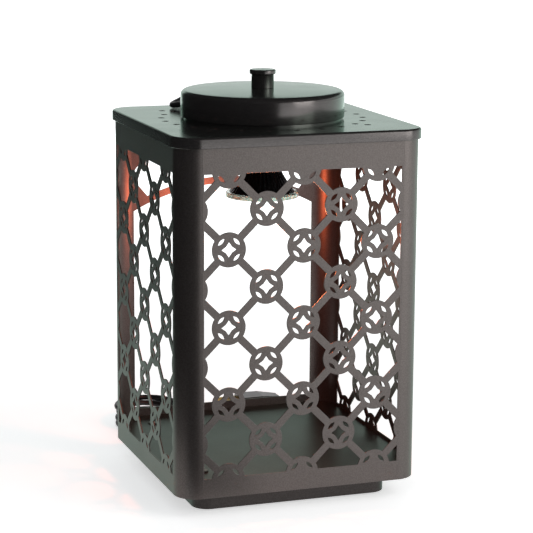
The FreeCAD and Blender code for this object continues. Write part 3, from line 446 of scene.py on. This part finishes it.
def lathe(bm, section, steps, ripple=None):
    """Turn a closed (radius, height) section about the Z axis; ripple adds to the radius."""
    rings = []
    for step in range(steps):
        angle = 2 * math.pi * step / steps
        ring = []
        for index, (radius, height) in enumerate(section):
            grown = radius + (ripple(angle, index) if ripple else 0)
            ring.append(bm.verts.new((grown * math.cos(angle), grown * math.sin(angle), height)))
        rings.append(ring)
    for ring, after in zip(rings, rings[1:] + rings[:1]):
        for index in range(len(section)):
            follow = (index + 1) % len(section)
            bm.faces.new((ring[index], after[index], after[follow], ring[follow]))
    bmesh.ops.remove_doubles(bm, verts=bm.verts, dist=1e-7)


# Lattice sides

PITCH = 25.4 * MM
RING_RADIUS = 11.4 * MM
STRUT_WIDTH = 5.0 * MM
WINDOW_HALF_WIDTH = 67.3 * MM
WINDOW_HALF_HEIGHT = 99.6 * MM
WINDOW_FOOT = 13.2 * MM
PETAL_LENGTH = 6.3 * MM
PETAL_WIDTH = 2.3 * MM
PETAL_CIRCLE = 7.3 * MM
STAR_TIP = 5.0 * MM
STAR_WAIST = 2.9 * MM
CORNER_RADIUS = 15.0 * MM
SHEET_EDGE = 0.12 * MM
ARC_STEPS = 10
CORNER_STEPS = 16
COLUMNS = 2
ROWS = 4


def cell_outline(column, row):
    """A lattice cell: arcs of its four rings joined by the straight sides of the struts."""
    half_arc = math.pi / 4 - math.asin(STRUT_WIDTH / 2 / RING_RADIUS)
    points = []
    for quarter in range(4):
        facing = quarter * math.pi / 2
        centre_x = column * PITCH + PITCH * math.cos(facing)
        centre_y = row * PITCH + PITCH * math.sin(facing)
        for step in range(ARC_STEPS + 1):
            angle = facing + math.pi + half_arc - 2 * half_arc * step / ARC_STEPS
            points.append((
                centre_x + RING_RADIUS * math.cos(angle), centre_y + RING_RADIUS * math.sin(angle),
            ))
    return points


def clipped(points, axis, sign, limit):
    """The part of an outline on the inner side of one window edge."""
    kept = []
    for here, after in zip(points, points[1:] + points[:1]):
        inside = sign * here[axis] <= limit
        inside_after = sign * after[axis] <= limit
        if inside:
            kept.append(here)
        if inside != inside_after:
            share = (sign * limit - here[axis]) / (after[axis] - here[axis])
            kept.append(tuple(a + (b - a) * share for a, b in zip(here, after)))
    return kept


def outline_area(points):
    return sum(a[0] * b[1] - b[0] * a[1] for a, b in zip(points, points[1:] + points[:1])) / 2


def petal_outline(centre, along):
    """A pointed leaf with its long axis at the angle along."""
    points = []
    for side in (1, -1):
        for step in range(6):
            share = side * (1 - 2 * step / 6)
            bulge = side * PETAL_WIDTH / 2 * (1 - share * share)
            across = PETAL_LENGTH / 2 * share
            points.append((
                centre[0] + across * math.cos(along) - bulge * math.sin(along),
                centre[1] + across * math.sin(along) + bulge * math.cos(along),
            ))
    return points


def star_outline(centre):
    """A four-pointed star with hollow sides."""
    points = []
    for quarter in range(4):
        for turn, reach in ((0, STAR_TIP), (math.pi / 8, STAR_TIP * 0.68), (math.pi / 4, STAR_WAIST),
                            (3 * math.pi / 8, STAR_TIP * 0.68)):
            angle = quarter * math.pi / 2 + turn
            points.append((centre[0] + reach * math.cos(angle), centre[1] + reach * math.sin(angle)))
    return points


def lattice_outlines():
    outlines = []
    for column in range(-COLUMNS - 1, COLUMNS + 2):
        for row in range(-ROWS - 1, ROWS + 2):
            centre = (column * PITCH, row * PITCH)
            if (column + row) % 2:
                cell = cell_outline(column, row)
                for axis, limit in ((0, WINDOW_HALF_WIDTH), (1, WINDOW_HALF_HEIGHT)):
                    for sign in (1, -1):
                        cell = clipped(cell, axis, sign, limit)
                if len(cell) > 2 and abs(outline_area(cell)) > 1e-6:
                    outlines.append(cell)
                continue
            if abs(column) > COLUMNS or abs(row) > ROWS:
                continue
            for quarter in range(4):
                angle = math.pi / 4 + quarter * math.pi / 2
                place = (
                    centre[0] + PETAL_CIRCLE * math.cos(angle), centre[1] + PETAL_CIRCLE * math.sin(angle),
                )
                if abs(place[1]) < WINDOW_HALF_HEIGHT:
                    outlines.append(petal_outline(place, angle + math.pi / 2))
            if abs(centre[1]) < WINDOW_HALF_HEIGHT:
                outlines.append(star_outline(centre))
    return outlines


def add_corner(bm, side, half_width, bottom, top, wall):
    """A quarter-round corner strip beside a sheet whose outer face is at z = 0."""
    rings = []
    for step in range(CORNER_STEPS + 1):
        angle = math.pi / 2 * step / CORNER_STEPS
        columns = []
        for radius in (CORNER_RADIUS, CORNER_RADIUS - wall):
            across = side * (half_width - CORNER_RADIUS + radius * math.sin(angle))
            depth = -CORNER_RADIUS + radius * math.cos(angle)
            columns.append([bm.verts.new((across, level, depth)) for level in (bottom, top)])
        rings.append(columns)
    for (outer, inner), (outer_next, inner_next) in zip(rings, rings[1:]):
        bm.faces.new((outer[0], outer_next[0], outer_next[1], outer[1]))
        bm.faces.new((inner[0], inner[1], inner_next[1], inner_next[0]))
        for end in (0, 1):
            bm.faces.new((outer[end], inner[end], inner_next[end], outer_next[end]))
    for outer, inner in (rings[0], rings[-1]):
        bm.faces.new((outer[0], outer[1], inner[1], inner[0]))


def lattice_side(node, turn, with_corners):
    """One lattice side, drawn flat as seen from outside and then stood up at its turn from the front."""
    bottom, top = low(node).z, high(node).z
    half_width = high("front_panel").x
    flat = half_width - CORNER_RADIUS
    wall = high("left_panel").x - low("left_panel").x
    middle = bottom + WINDOW_FOOT + WINDOW_HALF_HEIGHT
    border = [(-flat, bottom - middle), (flat, bottom - middle), (flat, top - middle), (-flat, top - middle)]
    bm = cut_sheet([border] + lattice_outlines(), wall, SHEET_EDGE)
    bmesh.ops.translate(bm, verts=bm.verts, vec=(0, middle, -wall / 2))
    if with_corners:
        add_corner(bm, 1, half_width, bottom, top, wall)
        add_corner(bm, -1, half_width, bottom, top, wall)
    outward = Matrix.Translation((0, -half_width, 0)) @ Matrix.Rotation(math.pi / 2, 4, "X")
    bmesh.ops.transform(bm, matrix=Matrix.Rotation(turn, 4, "Z") @ outward, verts=bm.verts)
    link_mesh(f"{node}_lattice", bm, "bronze_enamel", "lantern", node, sharp=SHEET_SHARP_ANGLE)


# Cap, dome and knob

CAP_RIM = 7.1 * MM
CAP_CORNER = 17.0 * MM
CAP_EDGE = 1.6 * MM
CAP_LAND = 0.8 * MM
SHEET = 0.8 * MM
COLLAR_RADIUS = 53.0 * MM
CAP_HOLE_RADIUS = 42.0 * MM
VENT_RADIUS = 2.25 * MM
VENT_CIRCLE = 68.0 * MM
CORNER_VENT_CIRCLE = 77.0 * MM
VENTS = 24
VENT_STEPS = 16
MOUTH_STEPS = 64
LATHE_STEPS = 144
KNOB_STEM_RADIUS = 7.6 * MM
KNOB_HEAD_HEIGHT = 3.0 * MM
DOME_EDGE = 3.5 * MM
DOME_CROWN = 1.0 * MM
CROWN_LAND = 1.0 * MM
CROWN_STEPS = 8
HEM_WIDTH = 4.4 * MM
STUD_BORE = 2.0 * MM
KNOB_BORE_DEPTH = 9.0 * MM
KNOB_EDGE = 0.8 * MM
KNOB_CENTRE = 0.5 * MM
KNOB_STEPS = 64


def circle(centre, radius, steps):
    angles = (2 * math.pi * step / steps for step in range(steps))
    return [(centre[0] + radius * math.cos(angle), centre[1] + radius * math.sin(angle)) for angle in angles]


def rounded_square(half, radius):
    points = []
    for quarter in range(4):
        middle = (quarter + 0.5) * math.pi / 2
        reach = (half - radius) * math.sqrt(2)
        for step in range(CORNER_STEPS + 1):
            angle = math.pi / 2 * (quarter + step / CORNER_STEPS)
            points.append((
                reach * math.cos(middle) + radius * math.cos(angle),
                reach * math.sin(middle) + radius * math.sin(angle),
            ))
    return points


def quarter_bend(centre, radius, start, stop, steps=5):
    """Points of an arc in a section, between two angles in degrees."""
    angles = (math.radians(start + (stop - start) * step / steps) for step in range(steps + 1))
    return [(centre[0] + radius * math.cos(angle), centre[1] + radius * math.sin(angle)) for angle in angles]


def make_cap():
    """Pressed cap: pierced top, rounded edge, turned-down rim and a raised collar."""
    half, seat = high("top_cap").x, high("top_cap").z
    bottom = low("top_cap").z
    top = bottom + CAP_RIM
    middle = (0, top - CAP_EDGE)
    outer_bend = quarter_bend(middle, CAP_EDGE, 90, 0)
    inner_bend = quarter_bend(middle, CAP_EDGE - SHEET, 0, 90)
    section = [(CAP_EDGE + CAP_LAND, top)]
    section += [(CAP_EDGE - reach, level) for reach, level in outer_bend]
    section += [(0, bottom + SHEET / 4), (SHEET / 4, bottom), (SHEET, bottom)]
    section += [(CAP_EDGE - reach, level) for reach, level in inner_bend]
    section += [(CAP_EDGE + CAP_LAND, top - SHEET)]
    vents = [circle(place, VENT_RADIUS, VENT_STEPS) for place in circle((0, 0), VENT_CIRCLE, VENTS)]
    for quarter in range(4):
        angle = math.pi / 4 + quarter * math.pi / 2
        place = (CORNER_VENT_CIRCLE * math.cos(angle), CORNER_VENT_CIRCLE * math.sin(angle))
        vents.append(circle(place, VENT_RADIUS, VENT_STEPS))
    border = rounded_square(half - section[0][0], CAP_CORNER - section[0][0])
    mouth = circle((0, 0), CAP_HOLE_RADIUS, MOUTH_STEPS)
    bm = cut_sheet([border, mouth] + vents, SHEET, 0)
    bmesh.ops.translate(bm, verts=bm.verts, vec=(0, 0, top - SHEET / 2))
    rings = [
        [bm.verts.new((x, y, level)) for x, y in rounded_square(half - inset, CAP_CORNER - inset)]
        for inset, level in section
    ]
    for ring, follow in zip(rings, rings[1:]):
        for index in range(len(ring)):
            after = (index + 1) % len(ring)
            bm.faces.new((ring[index], ring[after], follow[after], follow[index]))
    collar = bmesh.new()
    soft, sunk = SHEET / 4, top - SHEET / 2
    lathe(collar, [
        (CAP_HOLE_RADIUS, sunk), (COLLAR_RADIUS, sunk), (COLLAR_RADIUS, seat - soft),
        (COLLAR_RADIUS - soft, seat), (CAP_HOLE_RADIUS + soft, seat), (CAP_HOLE_RADIUS, seat - soft),
    ], LATHE_STEPS)
    joined = bpy.data.meshes.new("collar")
    collar.to_mesh(joined)
    collar.free()
    bm.from_mesh(joined)
    bpy.data.meshes.remove(joined)
    bmesh.ops.remove_doubles(bm, verts=bm.verts, dist=2e-6)
    link_mesh("pressed_cap", bm, "smooth_bronze", "lantern", "top_cap")


def make_dome():
    """Spun dome with a soft edge, a slight crown and a hem turned in at the foot."""
    radius, seat, top = high("dome_cover").x, low("dome_cover").z, high("dome_cover").z
    hem = radius - HEM_WIDTH
    edge_top = top - DOME_CROWN
    land = KNOB_STEM_RADIUS + CROWN_LAND

    def crown(drop):
        reach = radius - DOME_EDGE
        points = []
        for step in range(1, CROWN_STEPS + 1):
            share = step / CROWN_STEPS
            level = edge_top + DOME_CROWN * (1 - (1 - share) ** 2) - drop
            points.append((reach + (land - reach) * share, level))
        return points

    middle = (radius - DOME_EDGE, edge_top - DOME_EDGE)
    section = [(hem, seat), (radius - SHEET / 2, seat)]
    section += quarter_bend((radius - SHEET / 2, seat + SHEET / 2), SHEET / 2, -90, 0, 3)[1:]
    section += quarter_bend(middle, DOME_EDGE, 0, 90, 8)
    section += crown(0) + [(STUD_BORE, top), (STUD_BORE, top - SHEET)] + list(reversed(crown(SHEET)))
    section += quarter_bend(middle, DOME_EDGE - SHEET, 90, 0, 8)
    section += [(radius - SHEET, seat + SHEET), (hem, seat + SHEET)]
    bm = bmesh.new()
    lathe(bm, section, LATHE_STEPS)
    link_mesh("spun_dome", bm, "smooth_bronze", "lantern", "dome_cover")


def make_knob():
    """Turned knob with softened edges and a bore for its stud, narrow through the head."""
    foot, top = low("knob").z, high("knob").z
    head = high("knob").x
    bore_end = foot + KNOB_BORE_DEPTH
    ledge = top - KNOB_HEAD_HEIGHT
    soft = KNOB_EDGE
    section = [(STUD_BORE, foot), (KNOB_STEM_RADIUS - 0.2 * MM, foot), (KNOB_STEM_RADIUS, foot + 0.2 * MM)]
    section += [(KNOB_STEM_RADIUS, ledge - 0.5 * MM), (KNOB_STEM_RADIUS + 0.15 * MM, ledge - 0.15 * MM)]
    section += [(KNOB_STEM_RADIUS + 0.5 * MM, ledge)]
    section += quarter_bend((head - soft / 2, ledge + soft / 2), soft / 2, -90, 0, 4)
    section += quarter_bend((head - soft, top - soft), soft, 0, 90, 5)
    section += [(KNOB_CENTRE, top), (KNOB_CENTRE, bore_end), (STUD_BORE, bore_end)]
    bm = bmesh.new()
    lathe(bm, section, KNOB_STEPS)
    link_mesh("turned_knob", bm, "smooth_bronze", "lantern", "knob")


# Lamp

RIBS = 36
RIB_DEPTH = 0.45 * MM
BARE_RIM = 2.6 * MM
FLANGE_HEIGHT = 3.4 * MM
GLASS_LAP = 0.05 * MM
BOWL_STEPS = 8
BOWL_BULGE = 0.85


def make_reflector():
    """Ribbed reflector bowl coated black, with a clear glass rim left bare around its mouth."""
    bottom, top = low("lamp_reflector").z, high("lamp_reflector").z
    rim = high("lamp_reflector").x
    neck = high("lamp_base").x + 1.2 * MM
    flange = bottom + FLANGE_HEIGHT
    wall = 1.0 * MM
    glass = bmesh.new()
    lathe(glass, [
        (rim - 0.3 * MM, bottom), (rim, bottom + 0.4 * MM), (rim, flange - 0.6 * MM),
        (rim - 0.6 * MM, flange), (rim - BARE_RIM, flange), (rim - BARE_RIM, flange - wall),
        (rim - 1.3 * MM, flange - wall),
        (rim - 1.3 * MM, bottom),
    ], RIBS * 6)
    link_mesh("reflector_rim", glass, "clear_glass", "lamp", "lamp_reflector")
    mouth = rim - BARE_RIM
    flange -= GLASS_LAP
    bowl = []
    for step in range(1, BOWL_STEPS + 1):
        share = step / BOWL_STEPS
        bowl.append((mouth - (mouth - neck) * share ** BOWL_BULGE, flange + (top - flange) * share))
    inner = [(radius - wall, height) for radius, height in reversed(bowl)]
    section = [(mouth, flange)] + bowl + inner + [(mouth - wall, flange)]
    last = len(bowl)

    def ripple(angle, index):
        return -RIB_DEPTH * (0.5 + 0.5 * math.cos(RIBS * angle)) if 0 < index < last else 0

    bm = bmesh.new()
    lathe(bm, section, RIBS * 6, ripple)
    link_mesh("reflector_bowl", bm, "reflector_coat", "lamp", "lamp_reflector")


# Lead, on the given route points of its solids; its smooth line cuts a little inside them

CORD_RADIUS = 2.0 * MM
COIL_MIDDLE = (-40.0 * MM, 144.0 * MM)
COIL_RADIUS = 22.0 * MM
COIL_PITCH = 4.8 * MM
LAYER_RISE = 4.5 * MM
LAYER_TURNS = 1.4375
COIL_LAYERS = 4
COIL_STEPS = 16
FLOOR_GAP = 0.1 * MM
EXIT = (-40.675, 55.984, 254.0)

RUN_ROUTE = [
    EXIT, (-43.9, 60.4, 253.05), (-43.9, 66.9, 252.7), (-39.9, 73.9, 253.0), (-33.8, 79.8, 254.0),
    (-27.4, 86.8, 256.0), (-22.8, 94.8, 254.0), (-19.0, 101.4, 248.3), (-16.8, 105.3, 239.9),
    (-16.8, 106.4, 222.5), (-17.5, 106.9, 190.0), (-18.6, 106.8, 140.0), (-19.9, 106.1, 95.0),
    (-21.0, 105.2, 60.0), (-21.7, 104.6, 38.0), (-22.0, 104.7, 21.2), (-21.6, 108.2, 12.4),
    (-20.2, 115.0, 5.7), (-17.6, 123.6, 2.1), (-14.55, 132.0, 2.1), (-14.55, 140.0, 2.1),
]
TAIL_ROUTE = [
    (-36.0, 118.55, 15.6), (-27.0, 118.55, 15.6), (-17.5, 119.0, 13.6), (-8.0, 120.2, 10.4),
    (1.0, 121.4, 8.5), (8.0, 122.0, 8.0), (14.0, 122.0, 8.0),
]
LEAD_ROUTE = [
    (70.0, 122.0, 8.0), (80.5, 122.0, 8.0), (89.8, 127.3, 7.4), (95.1, 136.6, 6.8), (95.1, 147.3, 6.4),
    (89.8, 156.6, 6.1), (80.5, 162.0, 6.0), (70.0, 162.0, 6.0),
]


def coil_turns():
    """Piled turns that spiral in and out by layers and climb where the spiral reverses."""
    pitch = COIL_PITCH / (2 * math.pi)
    layer = 2 * math.pi * LAYER_TURNS
    swing = pitch * layer / 2
    climb = math.pi
    count = round(LAYER_TURNS * COIL_LAYERS * COIL_STEPS)
    points = []
    for step in range(count + 1):
        angle = layer * COIL_LAYERS * step / count
        index = min(int(angle / layer), COIL_LAYERS - 1)
        within = angle - index * layer
        offset = swing - pitch * within if index % 2 == 0 else -swing + pitch * within
        height = index * LAYER_RISE
        for border in range(1, COIL_LAYERS):
            away = angle - border * layer
            if abs(away) < climb / 2:
                sign = 1 if border % 2 else -1
                offset += sign * pitch * (climb / 2 - abs(away)) ** 2 / climb
                share = (1 - math.cos(math.pi * (away + climb / 2) / climb)) / 2
                height = (border - 1 + share) * LAYER_RISE
        radius = COIL_RADIUS + offset
        points.append((
            COIL_MIDDLE[0] + radius * math.cos(angle), COIL_MIDDLE[1] + radius * math.sin(angle),
            CORD_RADIUS + FLOOR_GAP + height,
        ))
    return points


def in_metres(route):
    return [tuple(value * MM for value in point) for point in route]


def make_cord(name, points):
    """A round cord on a smooth line with the route's points as its control points."""
    curve = bpy.data.curves.new(name, "CURVE")
    curve.dimensions = "3D"
    curve.bevel_depth = CORD_RADIUS
    curve.bevel_resolution = 5
    curve.resolution_u = 8
    curve.use_fill_caps = True
    spline = curve.splines.new("NURBS")
    spline.points.add(len(points) - 1)
    for point, place in zip(spline.points, points):
        point.co = (*place, 1)
    spline.order_u = 3
    spline.use_endpoint_u = True
    cord = bpy.data.objects.new(name, curve)
    bpy.context.scene.collection.objects.link(cord)
    curve.materials.append(MATERIALS["cord_jacket"])
    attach(cord, "lantern")
    return cord


def spline_length(cord):
    """Length of the cord's own line."""
    bare = cord.data.copy()
    bare.bevel_depth = 0
    holder = bpy.data.objects.new("line", bare)
    bpy.context.scene.collection.objects.link(holder)
    mesh = bpy.data.meshes.new_from_object(holder.evaluated_get(bpy.context.evaluated_depsgraph_get()))
    total = sum((mesh.vertices[edge.vertices[0]].co - mesh.vertices[edge.vertices[1]].co).length
                for edge in mesh.edges)
    bpy.data.objects.remove(holder)
    bpy.data.curves.remove(bare)
    return total


def make_lead():
    main = make_cord("mains_lead", in_metres(RUN_ROUTE) + coil_turns() + in_metres(TAIL_ROUTE))
    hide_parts("cord_run", "cord_coil", "cord_tail")
    spline_length(main)
    short = make_cord("plug_cord", in_metres(LEAD_ROUTE))
    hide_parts("plug_lead")
    spline_length(short)


# Switch wheel

TEETH = 36
TOOTH_DEPTH = 0.7 * MM


def make_wheel():
    """Knurled thumbwheel on its axle."""
    bottom, top = low("switch_wheel"), high("switch_wheel")
    middle = (bottom + top) / 2
    rim = (top.x - bottom.x) / 2
    bore = 1.55 * MM
    border, hole = [], []
    for step in range(TEETH * 4):
        angle = 2 * math.pi * step / (TEETH * 4)
        radius = rim - (TOOTH_DEPTH if step % 4 >= 2 else 0)
        border.append((radius * math.cos(angle), radius * math.sin(angle)))
    for step in range(32):
        angle = 2 * math.pi * step / 32
        hole.append((bore * math.cos(angle), bore * math.sin(angle)))
    bm = cut_sheet([border, hole], top.z - bottom.z, 0.3 * MM)
    bmesh.ops.translate(bm, verts=bm.verts, vec=middle)
    link_mesh("thumbwheel", bm, "black_plastic", "wheel", "switch_wheel")


make_camera()
make_world()
make_floor()
make_lights()
make_flags()
dress_frame()
lattice_side("front_panel", 0.0, True)
lattice_side("left_panel", -math.pi / 2, False)
lattice_side("right_panel", math.pi / 2, False)
make_cap()
make_dome()
make_knob()
make_reflector()
make_wheel()
make_lead()

scene = bpy.context.scene
scene.view_settings.view_transform = "Standard"
